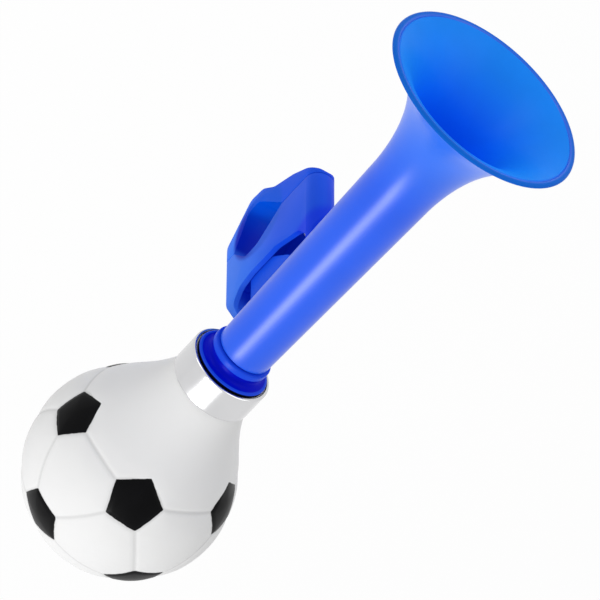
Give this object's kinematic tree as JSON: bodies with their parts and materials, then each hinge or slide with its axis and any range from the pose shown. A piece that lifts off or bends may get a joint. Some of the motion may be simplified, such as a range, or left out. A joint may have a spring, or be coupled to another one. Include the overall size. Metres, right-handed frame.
{
  "type": "bicycle squeeze horn",
  "caption": "Squeeze horn with a football-patterned bulb, chromed ferrule, reed, flared trumpet and a clamp for a bicycle handlebar.",
  "frame": {"origin": "centre of the handlebar opening in the clamp", "axes": "+X along the horn towards the bell, +Y along the handlebar, +Z from the handlebar towards the horn tube"},
  "size_m": [0.2038, 0.0634, 0.0864],
  "materials": {
    "bulb": "soft matt PVC with black five-sided panels",
    "chrome": "bright chrome plate",
    "collar": "gloss navy blue",
    "plug": "matt",
    "brass": "rolled",
    "trumpet": "translucent gloss blue",
    "clamp": "satin blue",
    "zinc": "zinc plated"
  },
  "bodies": {
    "horn": {"ball_bulb": "bulb", "ferrule": "chrome", "reed_socket": "collar", "reed_plug": "plug", "reed_shallot": "brass", "reed_wedge": "brass", "horn_tube": "trumpet", "clamp_base": "clamp", "clamp_nut": "zinc", "lug_screw": "zinc"},
    "cap": {"clamp_cap": "clamp", "clamp_washer": "zinc"},
    "screw": {"clamp_screw": "zinc"},
    "tongue": {"reed_tongue": "brass"}
  },
  "joints": [
    {"name": "cap_open", "type": "slide", "parent": "horn", "child": "cap", "axis": [0, 0, -1], "range_m": [0, 0.006]},
    {"name": "screw_turn", "type": "hinge", "parent": "cap", "child": "screw", "pos_m": [0.019, 0, 0], "axis": [0, 0, -1], "range_deg": [0, 4320]},
    {"name": "reed_beat", "type": "hinge", "parent": "horn", "child": "tongue", "pos_m": [-0.0333, 0, 0.04324], "axis": [0, 1, 0], "range_deg": [-0.7, 1], "stiffness_Nm_per_rad": 0.02}
  ],
  "couplings": [
    {"joint": "screw_turn", "follows": "cap_open", "rad_per_m": 12566}
  ]
}
